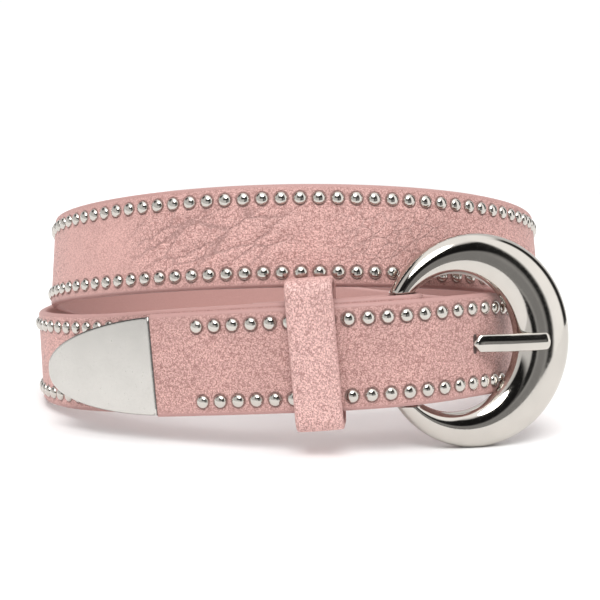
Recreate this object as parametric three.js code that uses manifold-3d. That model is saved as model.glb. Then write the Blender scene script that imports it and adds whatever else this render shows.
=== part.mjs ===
// A studded leather belt, buckled and coiled in two turns, standing on its edges.
// Millimetres, +Z up. The floor is z = 0, the viewer stands at -Y and the buckle is at the front right.
import * as THREE from "three";
import { mergeVertices } from "three/addons/utils/BufferGeometryUtils.js";
import Module from "manifold-3d";

// Strap
const strapWidth = 29.6;
const strapThickness = 2.9;
const edgeRound = 0.95; // how far the painted edge is rounded off, along the width
const layerGap = 0.4; // between the tip end and the buckle end that it lies on
const shoulderLength = 1.4; // from the cap's mouth to the strap's first full section
const stepLength = 0.1; // over which the strap steps down to the tongue in the cap

// Studs, in two rows along the outer face
const studRadius = 1.95;
const studHeight = 1.2;
const studPitch = 5.32;
const studRowInset = 4.17; // from the strap's edge to the middle of a row
const studSides = 6;
const studTopShare = 0.58; // flat top of a stud, as a share of its radius
const firstStudAfterCap = 15.31;
const lastStudTurn = 690;
const studsPerFacet = 3; // the strap's flat facets are this many studs long
const studsPerBendFacet = 2; // and shorter in the tight bend behind the buckle
const tightBendTurns = [27, 66];

// Coil
const coilRadius = 75;
const mouthTurn = -22; // where the metal tip cap ends and the leather shows
const barTurn = 745.4; // where the buckle's bar lies in the folded end

// Folded end round the buckle's bar
const barRadius = 2.0;
const pieceGap = 0.3; // between two pieces that touch on the real belt
const foldLength = 46; // length of the folded-back layer
const foldTaper = 16; // stretch over which the two layers close up behind the bar
const slotWidth = 6.4; // the prong's slot in the fold
const slotLength = 9;

// Buckle frame, a heavy domed crescent. Its x runs along the strap from the bar
const frameInnerCentre = 14.3;
const frameInnerLength = 18.9;
const frameInnerHeight = 19.9;
const frameOuterCentre = 21.0;
const frameOuterLength = 29.5;
const frameOuterHeight = 31.0;
const frameFrontDepth = 4.7;
const frameBackDepth = 3.7;
const hornDepthShare = 0.74; // depth of the horns' ends, as a share of the depth at the right
const hornClearance = 1.5; // from the strap's edge to the flat end of a horn
const frameTilt = 1.3; // degrees that the frame stands steeper than the strap
const strapClimb = 2.6; // degrees that the strap climbs where the bar is

// Prong
const prongWidth = 5.1;
const prongThickness = 2.6;
const prongLength = 42.4; // from the bar's middle to the rounded end
const prongReach = 4.2; // how far its end stands in front of the bar's middle
const prongDroop = 0.85; // and below it
const prongHoleGap = 0.42; // across the slanted faces this leaves pieceGap

// The prong's middle line, as shares of its length, its reach and its droop
const prongColumns = ["along", "out", "down"];
const prongRows = [
  [0.37, 0.07, 0],
  [0.54, 0.86, 0],
  [0.74, 1, 0.5],
  [1, 1, 1],
];

// Keeper, a plain leather loop
const keeperTurn = 8.6;
const keeperWidth = 13.2;
const keeperWall = 1.8;
const keeperAbove = 4.6; // free height over the strap, inside the loop
const keeperBelow = 3.3;
const keeperCorner = 2.4;
const keeperSlant = 1.5; // degrees that its upper end is off towards the tip

// Metal tip cap, a flat bullet-shaped sleeve
const capLength = 35.5;
const capHeight = 28.4;
const capWall = 0.6;
const capBluntness = 1.68;
const capFullness = 2.4;
const tongueThickness = 2.2; // the leather is pared where it enters the cap

// The coil's centre line, a row for each bend. turn is in degrees from the front, growing
// towards the right, the back and the left. radius is a share of coilRadius. lift is a share
// of how high the buckle raises the strap, and climb a share of that and a strap's width
// together. lean is in degrees, positive where the upper edge leans outwards.
const coilColumns = ["turn", "radius", "lift", "climb", "lean"];
const coilRows = [
  [-34, 1.153, 0.37, 0, -1.5],
  [-20, 1.147, 0.54, 0, -1.5],
  [5, 1.226, 0.81, 0, -1.5],
  [28, 1.325, 0.98, 0, -3.2],
  [42, 1.306, 0.97, 0, -3.6],
  [56, 1.21, 0.72, 0, -3],
  [72, 1.09, 0.5, 0, -1.5],
  [95, 0.99, 0.25, 0, 2],
  [135, 0.949, 0.05, 0, 8],
  [180, 0.959, 0.27, 0, 8],
  [225, 0.969, 0, 0.325, 3],
  [260, 0.991, 0, 0.556, -1],
  [290, 1.008, 0, 0.748, -4.3],
  [320, 0.994, 0, 0.898, -5.8],
  [350, 1.015, 0, 0.999, -8],
  [380, 1.068, 0, 1.025, -10.4],
  [410, 1.156, 0, 0.95, -9.8],
  [440, 1.203, 0, 0.754, -7],
  [470, 1.144, 0, 0.452, 1],
  [505, 1.095, 0, 0.137, 8],
  [545, 1.051, 0, 0.004, 4],
  [585, 1.044, 0, 0, 0],
  [612, 1.057, 0, 0, 0],
  [635, 1.053, 0.02, 0, 3],
  [658, 1.081, 0.155, 0, 1],
  [685, 1.073, 0.4, 0, -3],
];
const underTurns = [-16, -6, 4, 14, 24]; // where the buckle end is laid along the tip end
const fullTurn = 360;

// The buckle frame stands on the surface: how much lower its middle is than the bar.
const frameRise = frameOuterCentre * Math.sin(THREE.MathUtils.degToRad(frameTilt + strapClimb));
const buckleLift = frameOuterHeight - strapWidth / 2 - frameRise;
const layerPitch = strapThickness + layerGap;

const wasm = await Module();
wasm.setup();

// Natural cubic spline through the points (x, y): its value at any place.
function spline(x, y) {
  const n = x.length;
  const slope = x.slice(1).map((next, i) => (y[i + 1] - y[i]) / (next - x[i]));
  const second = new Array(n).fill(0);
  const pivot = new Array(n).fill(0);
  for (let i = 1; i < n - 1; i++) {
    const before = x[i] - x[i - 1];
    const after = x[i + 1] - x[i];
    const scale = 2 * (before + after) - before * pivot[i - 1];
    pivot[i] = after / scale;
    second[i] = (6 * (slope[i] - slope[i - 1]) - before * second[i - 1]) / scale;
  }
  for (let i = n - 2; i > 0; i--) second[i] -= pivot[i] * second[i + 1];
  return (at) => {
    let i = x.findIndex((knot) => knot > at) - 1;
    if (i < 0) i = at < x[0] ? 0 : n - 2;
    const step = x[i + 1] - x[i];
    const a = (x[i + 1] - at) / step;
    const b = 1 - a;
    const bend = (a ** 3 - a) * second[i] + (b ** 3 - b) * second[i + 1];
    return a * y[i] + b * y[i + 1] + (bend * step * step) / 6;
  };
}

// A table's rows with their columns' names.
function named(columns, rows) {
  return rows.map((values) => Object.fromEntries(columns.map((column, i) => [column, values[i]])));
}

// The centre line's three measures at a turn, as splines through rows of lengths in mm.
function centreLine(rows) {
  const turns = rows.map((row) => row.turn);
  const through = (key) => spline(turns, rows.map((row) => row[key]));
  return { radius: through("radius"), height: through("height"), lean: through("lean") };
}

const tableRows = named(coilColumns, coilRows).map((row) => {
  const raised = row.lift * buckleLift + row.climb * (strapWidth + buckleLift);
  return {
    turn: row.turn,
    radius: row.radius * coilRadius,
    height: strapWidth / 2 + raised,
    lean: row.lean,
  };
});
const tipLine = centreLine(tableRows);
const underRows = underTurns.map((turn) => ({
  turn: turn + 2 * fullTurn,
  radius: tipLine.radius(turn) - layerPitch,
  height: tipLine.height(turn),
  lean: tipLine.lean(turn),
}));
const coilLine = centreLine([...tableRows, ...underRows]);

function pointAt(turn) {
  const angle = THREE.MathUtils.degToRad(turn);
  const radius = coilLine.radius(turn);
  return new THREE.Vector3(radius * Math.sin(angle), -radius * Math.cos(angle), coilLine.height(turn));
}

// The strap's own axes at a turn: along it, out of its studded face, and up its width.
function frameAt(turn) {
  const reach = 0.25;
  const along = pointAt(turn + reach).sub(pointAt(turn - reach)).normalize();
  const flatOut = new THREE.Vector3(along.y, -along.x, 0).normalize();
  const upright = flatOut.clone().cross(along);
  const lean = THREE.MathUtils.degToRad(coilLine.lean(turn));
  const up = upright.clone().multiplyScalar(Math.cos(lean)).addScaledVector(flatOut, Math.sin(lean));
  const out = flatOut.clone().multiplyScalar(Math.cos(lean)).addScaledVector(upright, -Math.sin(lean));
  return { centre: pointAt(turn), along, out, up };
}

// Turn at a length along the strap, measured from the cap's mouth, and the length at a turn.
const turnStep = 0.5;
const lengths = [{ turn: mouthTurn, length: 0 }];
for (let turn = mouthTurn; turn < barTurn; turn += turnStep) {
  const step = pointAt(turn + turnStep).distanceTo(pointAt(turn));
  lengths.push({ turn: turn + turnStep, length: lengths[lengths.length - 1].length + step });
}
function turnAtLength(length) {
  const found = lengths.findIndex((mark) => mark.length >= length);
  const i = found < 0 ? lengths.length - 1 : Math.max(1, found);
  const low = lengths[i - 1];
  const share = (length - low.length) / (lengths[i].length - low.length);
  return low.turn + share * turnStep;
}
function lengthAtTurn(turn) {
  const i = Math.min(lengths.length - 1, Math.max(1, Math.ceil((turn - mouthTurn) / turnStep)));
  const low = lengths[i - 1];
  return low.length + ((turn - low.turn) / turnStep) * (lengths[i].length - low.length);
}

// A point in a piece's own axes, moved out and up from its centre.
function offset(frame, along, out, up) {
  return frame.centre
    .clone()
    .addScaledVector(frame.along, along)
    .addScaledVector(frame.out, out)
    .addScaledVector(frame.up, up);
}

// A closed body through equal rings of points, with flat ends. Each ring is a section whose
// points run anticlockwise for someone towards whom the body grows. The side between a ring's
// last and first point may have its own faces, by facing(ring, positions, faces).
function loft(rings, facing) {
  const count = rings[0].length;
  const positions = rings.flat().flatMap((point) => point.toArray());
  const faces = [];
  for (let ring = 0; ring < rings.length - 1; ring++) {
    for (let side = 0; side < count; side++) {
      if (side === count - 1 && facing && facing(ring, positions, faces)) continue;
      const a = ring * count + side;
      const b = ring * count + ((side + 1) % count);
      faces.push(a, b, b + count, a, b + count, a + count);
    }
  }
  const last = (rings.length - 1) * count;
  for (let side = 1; side < count - 1; side++) {
    faces.push(0, side + 1, side);
    faces.push(last, last + side, last + side + 1);
  }
  const geometry = new THREE.BufferGeometry();
  geometry.setAttribute("position", new THREE.Float32BufferAttribute(positions, 3));
  geometry.setIndex(faces);
  return geometry;
}

function solidOf(geometry) {
  const bare = geometry.clone();
  bare.deleteAttribute("normal");
  bare.deleteAttribute("uv");
  const merged = mergeVertices(bare, 1e-4);
  return new wasm.Manifold(
    new wasm.Mesh({
      numProp: 3,
      vertProperties: new Float32Array(merged.attributes.position.array),
      triVerts: new Uint32Array(merged.index.array),
    }),
  );
}

function geometryOf(solid) {
  const mesh = solid.getMesh();
  const geometry = new THREE.BufferGeometry();
  geometry.setAttribute("position", new THREE.BufferAttribute(mesh.vertProperties, 3));
  geometry.setIndex(new THREE.BufferAttribute(mesh.triVerts, 1));
  return geometry;
}

// The strap's section, an oblong with its painted edges rounded off.
function strapRing(frame, halfThickness, halfWidth) {
  const shoulder = Math.min(edgeRound, halfThickness * 0.65);
  const flat = halfWidth - edgeRound;
  const corners = [
    [halfThickness, -flat],
    [halfThickness - shoulder, -halfWidth],
    [shoulder - halfThickness, -halfWidth],
    [-halfThickness, -flat],
    [-halfThickness, flat],
    [shoulder - halfThickness, halfWidth],
    [halfThickness - shoulder, halfWidth],
    [halfThickness, flat],
  ];
  return corners.map(([out, up]) => offset(frame, 0, out, up));
}

// Half the cap's height at a share of its length, from its mouth to its rounded end.
function capHalfHeight(share) {
  return (capHeight / 2) * (1 - share ** capBluntness) ** (1 / capFullness);
}

// The pared tongue inside the cap, straight on from the strap, then the strap's cut corners.
function tongueRings() {
  const mouth = frameAt(mouthTurn);
  const fit = capWall + pieceGap;
  const tongueLength = capLength - fit;
  const ring = (back, halfThickness, halfWidth) =>
    strapRing({ ...mouth, centre: offset(mouth, -back, 0, 0) }, halfThickness, halfWidth);
  const shares = [0.98, 0.9, 0.76, 0.56, 0.28];
  const tongue = shares.map((share) =>
    ring(share * tongueLength, tongueThickness / 2, capHalfHeight(share) - fit),
  );
  tongue.push(ring(-pieceGap, tongueThickness / 2, capHeight / 2 - fit));
  tongue.push(ring(-pieceGap - stepLength, strapThickness / 2, strapWidth / 2 - edgeRound / 2));
  return tongue;
}

// Facets of the strap along the coil, from beside the cap to the bar: where each one starts
// and ends, as lengths from the cap's mouth, and the studs on it, as lengths from its start.
function coilFacets() {
  const end = lengthAtTurn(barTurn);
  const lastStud = lengthAtTurn(lastStudTurn);
  const [bendStart, bendEnd] = tightBendTurns.map(lengthAtTurn);
  const facets = [];
  let start = shoulderLength;
  let finish = firstStudAfterCap - studPitch / 2;
  let studs = 0;
  while (start < end) {
    const middles = Array.from({ length: studs }, (_, i) => (i + 0.5) * studPitch);
    facets.push({ start, finish, middles });
    start = finish;
    const tight = start > bendStart - studPitch && start < bendEnd;
    studs = tight ? studsPerBendFacet : studsPerFacet;
    finish = start + studs * studPitch;
    if (finish > lastStud) studs = 0;
    if (finish > end - studPitch) finish = end;
  }
  return facets;
}
const facets = coilFacets();

function coilRings() {
  const marks = [facets[0].start, ...facets.map((facet) => facet.finish)];
  const frames = marks.map((mark) => frameAt(turnAtLength(mark)));
  return frames.map((frame) => strapRing(frame, strapThickness / 2, strapWidth / 2));
}

const barFrame = frameAt(barTurn);
const foldRadius = barRadius + pieceGap + strapThickness / 2;
const bar = { ...barFrame, centre: offset(barFrame, 0, -foldRadius, 0) };

// The end of the strap, taken round the bar and back along the strap's plain face.
function foldRings() {
  const rings = [];
  const bends = 6;
  for (let i = 1; i <= bends; i++) {
    const angle = (Math.PI * i) / bends;
    const out = bar.out
      .clone()
      .multiplyScalar(Math.cos(angle))
      .addScaledVector(bar.along, Math.sin(angle));
    const centre = bar.centre.clone().addScaledVector(out, foldRadius);
    rings.push(strapRing({ ...bar, centre, out }, strapThickness / 2, strapWidth / 2));
  }
  const barLength = lengthAtTurn(barTurn);
  const steps = 5;
  for (let i = 1; i <= steps; i++) {
    const back = (foldLength * i) / steps;
    const frame = frameAt(turnAtLength(barLength - back));
    const closing = THREE.MathUtils.smoothstep(back, 0, foldTaper);
    const depth = THREE.MathUtils.lerp(2 * foldRadius, layerPitch, closing);
    const centre = offset(frame, 0, -depth, 0);
    const out = frame.out.clone().negate();
    rings.push(strapRing({ ...frame, centre, out }, strapThickness / 2, strapWidth / 2));
  }
  return rings;
}

// The outer face of one facet with its studs, each a low faceted dome that grows out of the
// leather. The face is cut round the studs' feet in its own flat measures, along and up.
function studdedFace(facet, corners, positions, faces) {
  const length = facet.finish - facet.start;
  const flat = strapWidth / 2 - edgeRound;
  const row = strapWidth / 2 - studRowInset;
  const places = corners.map((i) => new THREE.Vector3().fromArray(positions, 3 * i));
  const [lowStart, highStart, highEnd, lowEnd] = places;
  const onFace = (along, up) => {
    const low = lowStart.clone().lerp(lowEnd, along / length);
    const high = highStart.clone().lerp(highEnd, along / length);
    return low.lerp(high, (up + flat) / (2 * flat));
  };
  const way = lowEnd.clone().sub(lowStart).add(highEnd).sub(highStart);
  const out = way.cross(highStart.clone().sub(lowStart)).normalize();
  const outline = [[0, -flat], [length, -flat], [length, flat], [0, flat]];
  const outlineIndex = [corners[0], corners[3], corners[2], corners[1]];
  const holes = [];
  const holeIndex = [];
  for (const middle of facet.middles) {
    for (const up of [-row, row]) {
      const circle = Array.from({ length: studSides }, (_, i) => {
        const angle = (2 * Math.PI * (i + 0.5)) / studSides;
        return [Math.cos(angle), Math.sin(angle)];
      });
      const ring = (radius) => circle.map(([x, y]) => [middle + radius * x, up + radius * y]);
      const foot = ring(studRadius);
      const first = positions.length / 3;
      for (const [along, high] of foot) positions.push(...onFace(along, high).toArray());
      for (const [along, high] of ring(studTopShare * studRadius)) {
        positions.push(...onFace(along, high).addScaledVector(out, studHeight).toArray());
      }
      for (let i = 0; i < studSides; i++) {
        const a = first + i;
        const b = first + ((i + 1) % studSides);
        faces.push(a, b, b + studSides, a, b + studSides, a + studSides);
        if (i > 1) faces.push(first + studSides, first + studSides + i - 1, first + studSides + i);
      }
      holes.push(foot.map(([x, y]) => new THREE.Vector2(x, y)));
      holeIndex.push(...foot.map((_, i) => first + i));
    }
  }
  const index = [...outlineIndex, ...holeIndex];
  const contour = outline.map(([x, y]) => new THREE.Vector2(x, y));
  for (const [a, b, c] of THREE.ShapeUtils.triangulateShape(contour, holes)) {
    faces.push(index[a], index[b], index[c]);
  }
}

// The prong's body from the bar, up through the strap and over the frame to its rounded end,
// grown all round by a clearance. Its section is flat below and ridged above.
function prongSolid(clearance) {
  const section = [
    [0.5, -1],
    [0.8, -0.2],
    [0.5, 0.7],
    [0, 1],
    [-0.5, 0.7],
    [-0.8, -0.2],
    [-0.5, -1],
  ];
  const widest = 0.8;
  const straight = prongLength - prongWidth / 2;
  const places = [offset(bar, barRadius + pieceGap, 0, 0)];
  for (const row of named(prongColumns, prongRows)) {
    places.push(offset(bar, row.along * straight, row.out * prongReach, -row.down * prongDroop));
  }
  const ways = places.slice(1).map((place, i) => place.clone().sub(places[i]).normalize());
  const ring = (centre, along, share) => {
    const out = along.clone().cross(bar.up).normalize();
    const axes = { centre, along, out, up: out.clone().cross(along) };
    const high = (prongThickness / 2) * share + clearance;
    const half = ((prongWidth / 2) * share + clearance) / widest;
    return section.map(([across, rise]) => offset(axes, 0, rise * high, across * half));
  };
  const rings = places.map((place, i) => {
    const before = ways[Math.max(0, i - 1)];
    const after = ways[Math.min(ways.length - 1, i)];
    return ring(place, before.clone().add(after).normalize(), 1);
  });
  const end = places[places.length - 1];
  const way = ways[ways.length - 1];
  for (const angle of [30, 60, 80].map(THREE.MathUtils.degToRad)) {
    const reach = (prongWidth / 2) * Math.sin(angle) + clearance;
    rings.push(ring(end.clone().addScaledVector(way, reach), way, Math.cos(angle) ** 0.6));
  }
  return solidOf(loft(rings));
}

// A ring round the bar's axis, as tall as the prong is wide, less or more a clearance.
function barRing(inner, outer, height) {
  const profile = [
    new THREE.Vector2(inner, -height / 2),
    new THREE.Vector2(outer, -height / 2),
    new THREE.Vector2(outer, height / 2),
    new THREE.Vector2(inner, height / 2),
    new THREE.Vector2(inner, -height / 2),
  ];
  const ring = new THREE.LatheGeometry(profile, 12);
  const place = new THREE.Matrix4().makeBasis(bar.along, bar.up, bar.along.clone().cross(bar.up));
  place.setPosition(bar.centre);
  return solidOf(ring.applyMatrix4(place));
}

// The oblong slot that the prong's ring needs through both layers of the fold.
function slotSolid() {
  const reach = foldRadius + strapThickness / 2 + layerGap / 2;
  const box = new THREE.BoxGeometry(slotLength + reach, slotWidth, 2 * reach);
  const place = new THREE.Matrix4().makeBasis(bar.along, bar.up, bar.along.clone().cross(bar.up));
  place.setPosition(offset(bar, (reach - slotLength) / 2, 0, 0));
  return solidOf(box.applyMatrix4(place));
}

// The whole strap with its studs, the slot in its fold and the hole that the prong is through.
function strapGeometry() {
  const tongue = tongueRings();
  const rings = [...tongue, ...coilRings(), ...foldRings()];
  const count = rings[0].length;
  const facing = (ring, positions, faces) => {
    const facet = facets[ring - tongue.length];
    if (!facet || facet.middles.length === 0) return false;
    const start = ring * count;
    const end = start + count;
    studdedFace(facet, [start, start + count - 1, end + count - 1, end], positions, faces);
    return true;
  };
  const strap = solidOf(loft(rings, facing));
  return geometryOf(strap.subtract(slotSolid()).subtract(prongSolid(prongHoleGap)));
}

// The crescent: its section is an oval between the inner and the outer outline.
function crescentGeometry() {
  const hornHeight = strapWidth / 2 + hornClearance;
  const innerEnd = Math.PI - Math.asin(hornHeight / frameInnerHeight);
  const outerEnd = Math.PI - Math.asin(hornHeight / frameOuterHeight);
  const tilt = THREE.MathUtils.degToRad(frameTilt);
  const along = bar.along.clone().multiplyScalar(Math.cos(tilt)).addScaledVector(bar.up, Math.sin(tilt));
  const up = bar.up.clone().multiplyScalar(Math.cos(tilt)).addScaledVector(bar.along, -Math.sin(tilt));
  const frame = { ...bar, along, up };
  const stations = 26;
  const sides = 10;
  const rings = [];
  for (let station = 0; station <= stations; station++) {
    const way = (2 * station) / stations - 1;
    const inner = innerEnd * way;
    const outer = outerEnd * way;
    const innerX = frameInnerCentre + frameInnerLength * Math.cos(inner);
    const innerY = frameInnerHeight * Math.sin(inner);
    const outerX = frameOuterCentre + frameOuterLength * Math.cos(outer);
    const outerY = frameOuterHeight * Math.sin(outer);
    const depth = THREE.MathUtils.lerp(1, hornDepthShare, way * way);
    rings.push(
      Array.from({ length: sides }, (_, i) => {
        const angle = (-2 * Math.PI * (i + 0.5)) / sides;
        const share = (1 + Math.cos(angle)) / 2;
        const reach = Math.sin(angle) > 0 ? frameFrontDepth : frameBackDepth;
        const x = THREE.MathUtils.lerp(innerX, outerX, share);
        const y = THREE.MathUtils.lerp(innerY, outerY, share);
        return offset(frame, x, depth * reach * Math.sin(angle), y);
      }),
    );
  }
  return loft(rings);
}

function buckleFrameGeometry() {
  const barLength = strapWidth + 2 * hornClearance + 2 * barRadius;
  const rod = new THREE.CylinderGeometry(barRadius, barRadius, barLength, 10);
  const place = new THREE.Matrix4().makeBasis(bar.along, bar.up, bar.along.clone().cross(bar.up));
  place.setPosition(bar.centre);
  const solid = solidOf(crescentGeometry()).add(solidOf(rod.applyMatrix4(place)));
  return geometryOf(solid.subtract(prongSolid(prongHoleGap)));
}

function prongGeometry() {
  const outer = foldRadius + strapThickness / 2 - layerGap;
  const ring = barRing(barRadius + pieceGap, outer, prongWidth - layerGap);
  return geometryOf(prongSolid(0).add(ring));
}

// The keeper: a rounded oblong loop round the tip end and the two layers of the buckle end.
function keeperGeometry() {
  const front = strapThickness / 2 + studHeight + pieceGap;
  const back = -strapThickness / 2 - 2 * layerPitch - 2 * pieceGap;
  const high = strapWidth / 2 + keeperAbove;
  const low = -strapWidth / 2 - keeperBelow;
  const outline = (path, grow) => {
    const corner = keeperCorner + grow;
    const x0 = back - grow;
    const x1 = front + grow;
    const y0 = low - grow;
    const y1 = high + grow;
    path.moveTo(x0 + corner, y0);
    path.lineTo(x1 - corner, y0);
    path.absarc(x1 - corner, y0 + corner, corner, -Math.PI / 2, 0, false);
    path.lineTo(x1, y1 - corner);
    path.absarc(x1 - corner, y1 - corner, corner, 0, Math.PI / 2, false);
    path.lineTo(x0 + corner, y1);
    path.absarc(x0 + corner, y1 - corner, corner, Math.PI / 2, Math.PI, false);
    path.lineTo(x0, y0 + corner);
    path.absarc(x0 + corner, y0 + corner, corner, Math.PI, 1.5 * Math.PI, false);
    return path;
  };
  const loop = outline(new THREE.Shape(), keeperWall);
  loop.holes.push(outline(new THREE.Path(), 0));
  const band = new THREE.ExtrudeGeometry(loop, { depth: keeperWidth, bevelEnabled: false, curveSegments: 2 });
  const frame = frameAt(keeperTurn);
  const across = frame.out.clone().cross(frame.up);
  const place = new THREE.Matrix4().makeBasis(frame.out, frame.up, across);
  place.setPosition(frame.centre);
  place.multiply(new THREE.Matrix4().makeRotationX(THREE.MathUtils.degToRad(-keeperSlant)));
  place.multiply(new THREE.Matrix4().makeTranslation(0, 0, -keeperWidth / 2));
  return geometryOf(solidOf(band.applyMatrix4(place)));
}

// A flat bullet outline, closed at the mouth, as a slab of some thickness in the cap's axes.
function capSlab(inset, mouthBack, thickness) {
  const steps = 9;
  const shape = new THREE.Shape();
  const length = capLength - inset;
  const points = [];
  for (let i = 0; i <= steps; i++) {
    const share = Math.sin((Math.PI / 2) * (i / steps));
    points.push(new THREE.Vector2(-length * share, Math.max(0, capHalfHeight(share) - inset * (i < steps))));
  }
  points.unshift(new THREE.Vector2(mouthBack, capHeight / 2 - inset));
  const lower = points.slice(0, -1).reverse().map((point) => new THREE.Vector2(point.x, -point.y));
  shape.setFromPoints([...points, ...lower]);
  const slab = new THREE.ExtrudeGeometry(shape, { depth: thickness, bevelEnabled: false });
  const mouth = frameAt(mouthTurn);
  const out = mouth.along.clone().cross(mouth.up);
  const place = new THREE.Matrix4().makeBasis(mouth.along, mouth.up, out);
  place.setPosition(mouth.centre.clone().addScaledVector(out, -thickness / 2));
  return solidOf(slab.applyMatrix4(place));
}

function tipCapGeometry() {
  const pocket = tongueThickness + 2 * pieceGap;
  const outside = capSlab(0, 0, pocket + 2 * capWall);
  return geometryOf(outside.subtract(capSlab(capWall, 1, pocket)));
}

const finishes = {
  leather: { color: 0xd9a5a0, roughness: 0.62, metalness: 0 },
  keeperLeather: { color: 0xe0b0ab, roughness: 0.6, metalness: 0 },
  polishedMetal: { color: 0xd6d4d0, roughness: 0.12, metalness: 1 },
  satinMetal: { color: 0xd9d6d0, roughness: 0.25, metalness: 1 },
};

function addPiece(group, name, geometry, finish) {
  const mesh = new THREE.Mesh(geometry, new THREE.MeshStandardMaterial(finishes[finish]));
  mesh.name = name;
  group.add(mesh);
}

const group = new THREE.Group();
addPiece(group, "strap", strapGeometry(), "leather");
addPiece(group, "keeper", keeperGeometry(), "keeperLeather");
addPiece(group, "buckle_frame", buckleFrameGeometry(), "polishedMetal");
addPiece(group, "prong", prongGeometry(), "polishedMetal");
addPiece(group, "tip_cap", tipCapGeometry(), "satinMetal");

// The belt stands on z = 0 with the middle of its outline over the origin.
const bounds = new THREE.Box3().setFromObject(group);
const middle = bounds.getCenter(new THREE.Vector3());
for (const mesh of group.children) mesh.geometry.translate(-middle.x, -middle.y, -bounds.min.z);

export default group;
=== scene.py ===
"""A studded leather belt, buckled and coiled in two turns, dressed over its CAD parts.

The belt's pieces are surfaces carried along one line, the strap's centre line, which winds
twice round an upright axis. Lengths in the tables are millimetres, Blender's are metres.
"""

import bpy
import numpy as np
from bpy.props import FloatProperty, FloatVectorProperty, PointerProperty
from bpy.types import Operator, Panel, PropertyGroup
from mathutils import Matrix


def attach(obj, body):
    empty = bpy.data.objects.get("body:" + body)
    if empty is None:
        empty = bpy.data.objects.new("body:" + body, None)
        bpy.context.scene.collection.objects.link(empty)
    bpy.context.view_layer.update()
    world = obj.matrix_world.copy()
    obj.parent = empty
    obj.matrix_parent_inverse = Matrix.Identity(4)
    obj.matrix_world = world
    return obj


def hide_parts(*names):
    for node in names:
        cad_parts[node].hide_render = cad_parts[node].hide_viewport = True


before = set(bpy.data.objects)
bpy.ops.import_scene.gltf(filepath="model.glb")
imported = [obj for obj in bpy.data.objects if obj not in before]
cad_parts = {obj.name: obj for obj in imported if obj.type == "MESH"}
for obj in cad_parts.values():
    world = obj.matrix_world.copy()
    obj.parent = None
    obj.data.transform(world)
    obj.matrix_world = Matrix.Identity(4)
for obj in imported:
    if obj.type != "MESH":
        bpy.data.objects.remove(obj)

bl_info = {
    "name": "Studded belt",
    "version": (1, 0, 0),
    "blender": (4, 5, 0),
    "location": "View3D > Sidebar > Belt",
    "description": "Builds a coiled studded belt over its CAD parts",
    "category": "Add Mesh",
}

MM = 0.001
FULL_TURN = 360.0

# How far the buckle leans in its own plane, and its bar against the strap, in degrees
BUCKLE_TILT = 1.3
BAR_TILT = 2.6
# How far the keeper leans in its own plane, in degrees
KEEPER_SLANT = 1.5
# The free gap round the bar and over the studs, and how far the cap reaches over the strap
CLEARANCE = 0.3 * MM
CAP_OVERLAP = 0.7 * MM
# How deep the prong lies in the frame's crest, how far that bed reaches in from its sides and
# its end, and over which stretch the crest comes back
BED_DEPTH = 0.7 * MM
BED_SIDE = 0.5 * MM
BED_END = 1.6 * MM
BED_FADE = 0.5 * MM
# Half the stretch over which the prong's corners are averaged, and its rows of points
PRONG_SOFT = 0.6 * MM
PRONG_POINTS = 160

# Where the coil's axis stands in the model's frame
AXIS_PLACE = np.array([-5.634, 7.727, 0.175])

# The centre line, a row for each bend: turn in degrees from the front, growing towards the
# right, the back and the left, radius as a share of the coil's, lift as a share of how high
# the buckle raises the strap, climb as a share of that and a strap's width together, and
# lean in degrees, positive where the upper edge leans outwards
COIL_ROWS = np.array([
    (-34, 1.153, 0.37, 0, -1.5),
    (-20, 1.147, 0.54, 0, -1.5),
    (5, 1.226, 0.81, 0, -1.5),
    (28, 1.325, 0.98, 0, -3.2),
    (42, 1.306, 0.97, 0, -3.6),
    (56, 1.21, 0.72, 0, -3),
    (72, 1.09, 0.5, 0, -1.5),
    (95, 0.99, 0.25, 0, 2),
    (135, 0.949, 0.05, 0, 8),
    (180, 0.959, 0.27, 0, 8),
    (225, 0.969, 0, 0.325, 3),
    (260, 0.991, 0, 0.556, -1),
    (290, 1.008, 0, 0.748, -4.3),
    (320, 0.994, 0, 0.898, -5.8),
    (350, 1.015, 0, 0.999, -8),
    (380, 1.068, 0, 1.025, -10.4),
    (410, 1.156, 0, 0.95, -9.8),
    (440, 1.203, 0, 0.754, -7),
    (470, 1.144, 0, 0.452, 1),
    (505, 1.095, 0, 0.137, 8),
    (545, 1.051, 0, 0.004, 4),
    (585, 1.044, 0, 0, 0),
    (612, 1.057, 0, 0, 0),
    (635, 1.053, 0.02, 0, 3),
    (658, 1.081, 0.155, 0, 1),
    (685, 1.073, 0.4, 0, -3),
])
UNDER_TURNS = np.array([-16.0, -6.0, 4.0, 14.0, 24.0])
# How much higher the buckle's end stands than the tip that lies over it
UNDER_RISE = 0.9 * MM
MOUTH_TURN = -22.0
BAR_TURN = 745.4
LAST_STUD_TURN = 690.0
KEEPER_TURN = 8.6

# The prong's middle line, a row for each bend: shares of its length along the buckle, of its
# reach in front of the bar and of its droop
PRONG_ROWS = np.array([
    (0.0, 0.0, 0.0),
    (0.469, 0.07, 0.0),
    (0.489, 0.8, 0.0),
    (0.56, 0.9, 0.0),
    (0.74, 1.0, 0.5),
    (1.0, 1.0, 1.0),
])

# The share of its length at which the prong comes out of the strap's hole
PRONG_HOLE = 0.472

# Lengths in millimetres from the cap's mouth between which the hide shows folds and cracks
FOLD_STRETCH = (490.0, 540.0)
CRACK_STRETCH = (552.0, 586.0)
# Between these the grain is drawn smooth by the bend
SMOOTH_STRETCH = (450.0, 492.0)

# The white table ends this far in front of the belt's middle, under the picture's lower edge
TABLE_FRONT = 215 * MM

# The camera that matches the photograph, measured in a 600 pixel frame
PHOTO_PIXELS = 600.0
CAMERA = {
    "focal_pixels": 1075.776,
    "distance": 387.228,
    "elevation": 6.735,
    "roll": 0.746,
    "target": (3.926, 7.727, 32.781),
}


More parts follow.
